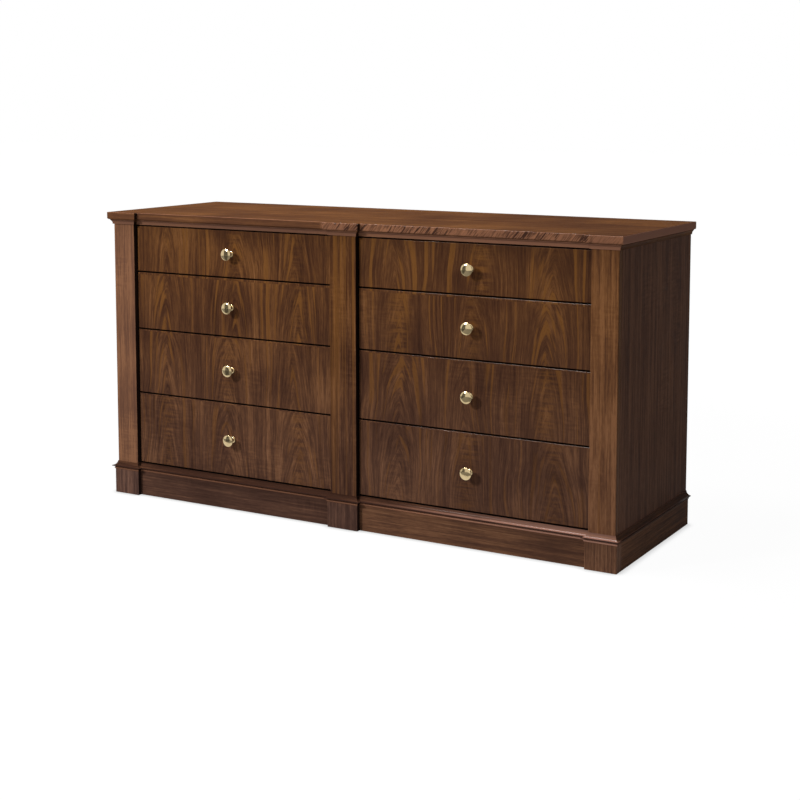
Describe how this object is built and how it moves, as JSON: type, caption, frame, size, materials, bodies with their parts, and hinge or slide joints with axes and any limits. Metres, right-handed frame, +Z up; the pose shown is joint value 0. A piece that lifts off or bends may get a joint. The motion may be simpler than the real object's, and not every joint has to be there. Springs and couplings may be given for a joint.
{
  "type": "dresser",
  "caption": "Wide walnut dresser with inset drawers on telescopic slides, a break-front case with plain pilasters, a moulded top and plinth, and round brass knobs.",
  "frame": {"origin": "on the floor, under the middle of the dresser's bounding box with the knobs", "axes": "+X along the width, to the right seen from the front; +Y to the back; +Z up"},
  "size_m": [1.759, 0.576, 0.914],
  "materials": {
    "walnut_front": "figured walnut veneer, grain upright, satin lacquer",
    "walnut_top": "walnut veneer, grain along the width, satin lacquer",
    "walnut_panel": "walnut veneer, grain upright, satin lacquer",
    "walnut_trim": "solid walnut, satin lacquer",
    "inner_wood": "plain hardwood, sanded",
    "drawer_wood": "maple, clear matt lacquer",
    "back_ply": "stained plywood",
    "slide_steel": "zinc plated",
    "knob_brass": "polished pale brass"
  },
  "bodies": {
    "case": {"top_panel": "walnut_top", "cornice_moulding": "walnut_trim", "left_side_panel": "walnut_panel", "right_side_panel": "walnut_panel", "inner_side_panels": "inner_wood", "centre_partitions": "inner_wood", "back_panels": "back_ply", "bottom_board": "inner_wood", "left_pilaster": "walnut_trim", "centre_pilaster": "walnut_trim", "right_pilaster": "walnut_trim", "base_moulding": "walnut_trim", "plinth_blocks": "walnut_trim", "front_plinths": "walnut_trim", "side_plinths": "walnut_trim", "rear_plinth": "inner_wood", "plinth_corner_blocks": "inner_wood", "top_rails": "inner_wood", "drawer_rails": "inner_wood", "slide_case_members": "slide_steel"},
    "drawer_left_1": {"drawer_front_left_1": "walnut_front", "drawer_box_left_1": "drawer_wood", "knob_left_1": "knob_brass", "slide_inner_left_1": "slide_steel"},
    "runner_left_1": {"slide_middle_left_1": "slide_steel"},
    "drawer_left_2": {"drawer_front_left_2": "walnut_front", "drawer_box_left_2": "drawer_wood", "knob_left_2": "knob_brass", "slide_inner_left_2": "slide_steel"},
    "runner_left_2": {"slide_middle_left_2": "slide_steel"},
    "drawer_left_3": {"drawer_front_left_3": "walnut_front", "drawer_box_left_3": "drawer_wood", "knob_left_3": "knob_brass", "slide_inner_left_3": "slide_steel"},
    "runner_left_3": {"slide_middle_left_3": "slide_steel"},
    "drawer_left_4": {"drawer_front_left_4": "walnut_front", "drawer_box_left_4": "drawer_wood", "knob_left_4": "knob_brass", "slide_inner_left_4": "slide_steel"},
    "runner_left_4": {"slide_middle_left_4": "slide_steel"},
    "drawer_right_1": {"drawer_front_right_1": "walnut_front", "drawer_box_right_1": "drawer_wood", "knob_right_1": "knob_brass", "slide_inner_right_1": "slide_steel"},
    "runner_right_1": {"slide_middle_right_1": "slide_steel"},
    "drawer_right_2": {"drawer_front_right_2": "walnut_front", "drawer_box_right_2": "drawer_wood", "knob_right_2": "knob_brass", "slide_inner_right_2": "slide_steel"},
    "runner_right_2": {"slide_middle_right_2": "slide_steel"},
    "drawer_right_3": {"drawer_front_right_3": "walnut_front", "drawer_box_right_3": "drawer_wood", "knob_right_3": "knob_brass", "slide_inner_right_3": "slide_steel"},
    "runner_right_3": {"slide_middle_right_3": "slide_steel"},
    "drawer_right_4": {"drawer_front_right_4": "walnut_front", "drawer_box_right_4": "drawer_wood", "knob_right_4": "knob_brass", "slide_inner_right_4": "slide_steel"},
    "runner_right_4": {"slide_middle_right_4": "slide_steel"}
  },
  "joints": [
    {"name": "drawer_left_1_slide", "type": "slide", "parent": "case", "child": "drawer_left_1", "axis": [0, -1, 0], "range_m": [0, 0.44]},
    {"name": "runner_left_1_slide", "type": "slide", "parent": "case", "child": "runner_left_1", "axis": [0, -1, 0], "range_m": [0, 0.22]},
    {"name": "drawer_left_2_slide", "type": "slide", "parent": "case", "child": "drawer_left_2", "axis": [0, -1, 0], "range_m": [0, 0.44]},
    {"name": "runner_left_2_slide", "type": "slide", "parent": "case", "child": "runner_left_2", "axis": [0, -1, 0], "range_m": [0, 0.22]},
    {"name": "drawer_left_3_slide", "type": "slide", "parent": "case", "child": "drawer_left_3", "axis": [0, -1, 0], "range_m": [0, 0.44]},
    {"name": "runner_left_3_slide", "type": "slide", "parent": "case", "child": "runner_left_3", "axis": [0, -1, 0], "range_m": [0, 0.22]},
    {"name": "drawer_left_4_slide", "type": "slide", "parent": "case", "child": "drawer_left_4", "axis": [0, -1, 0], "range_m": [0, 0.44]},
    {"name": "runner_left_4_slide", "type": "slide", "parent": "case", "child": "runner_left_4", "axis": [0, -1, 0], "range_m": [0, 0.22]},
    {"name": "drawer_right_1_slide", "type": "slide", "parent": "case", "child": "drawer_right_1", "axis": [0, -1, 0], "range_m": [0, 0.44]},
    {"name": "runner_right_1_slide", "type": "slide", "parent": "case", "child": "runner_right_1", "axis": [0, -1, 0], "range_m": [0, 0.22]},
    {"name": "drawer_right_2_slide", "type": "slide", "parent": "case", "child": "drawer_right_2", "axis": [0, -1, 0], "range_m": [0, 0.44]},
    {"name": "runner_right_2_slide", "type": "slide", "parent": "case", "child": "runner_right_2", "axis": [0, -1, 0], "range_m": [0, 0.22]},
    {"name": "drawer_right_3_slide", "type": "slide", "parent": "case", "child": "drawer_right_3", "axis": [0, -1, 0], "range_m": [0, 0.44]},
    {"name": "runner_right_3_slide", "type": "slide", "parent": "case", "child": "runner_right_3", "axis": [0, -1, 0], "range_m": [0, 0.22]},
    {"name": "drawer_right_4_slide", "type": "slide", "parent": "case", "child": "drawer_right_4", "axis": [0, -1, 0], "range_m": [0, 0.44]},
    {"name": "runner_right_4_slide", "type": "slide", "parent": "case", "child": "runner_right_4", "axis": [0, -1, 0], "range_m": [0, 0.22]}
  ],
  "couplings": [
    {"joint": "runner_left_1_slide", "follows": "drawer_left_1_slide", "ratio": 0.5},
    {"joint": "runner_left_2_slide", "follows": "drawer_left_2_slide", "ratio": 0.5},
    {"joint": "runner_left_3_slide", "follows": "drawer_left_3_slide", "ratio": 0.5},
    {"joint": "runner_left_4_slide", "follows": "drawer_left_4_slide", "ratio": 0.5},
    {"joint": "runner_right_1_slide", "follows": "drawer_right_1_slide", "ratio": 0.5},
    {"joint": "runner_right_2_slide", "follows": "drawer_right_2_slide", "ratio": 0.5},
    {"joint": "runner_right_3_slide", "follows": "drawer_right_3_slide", "ratio": 0.5},
    {"joint": "runner_right_4_slide", "follows": "drawer_right_4_slide", "ratio": 0.5}
  ]
}
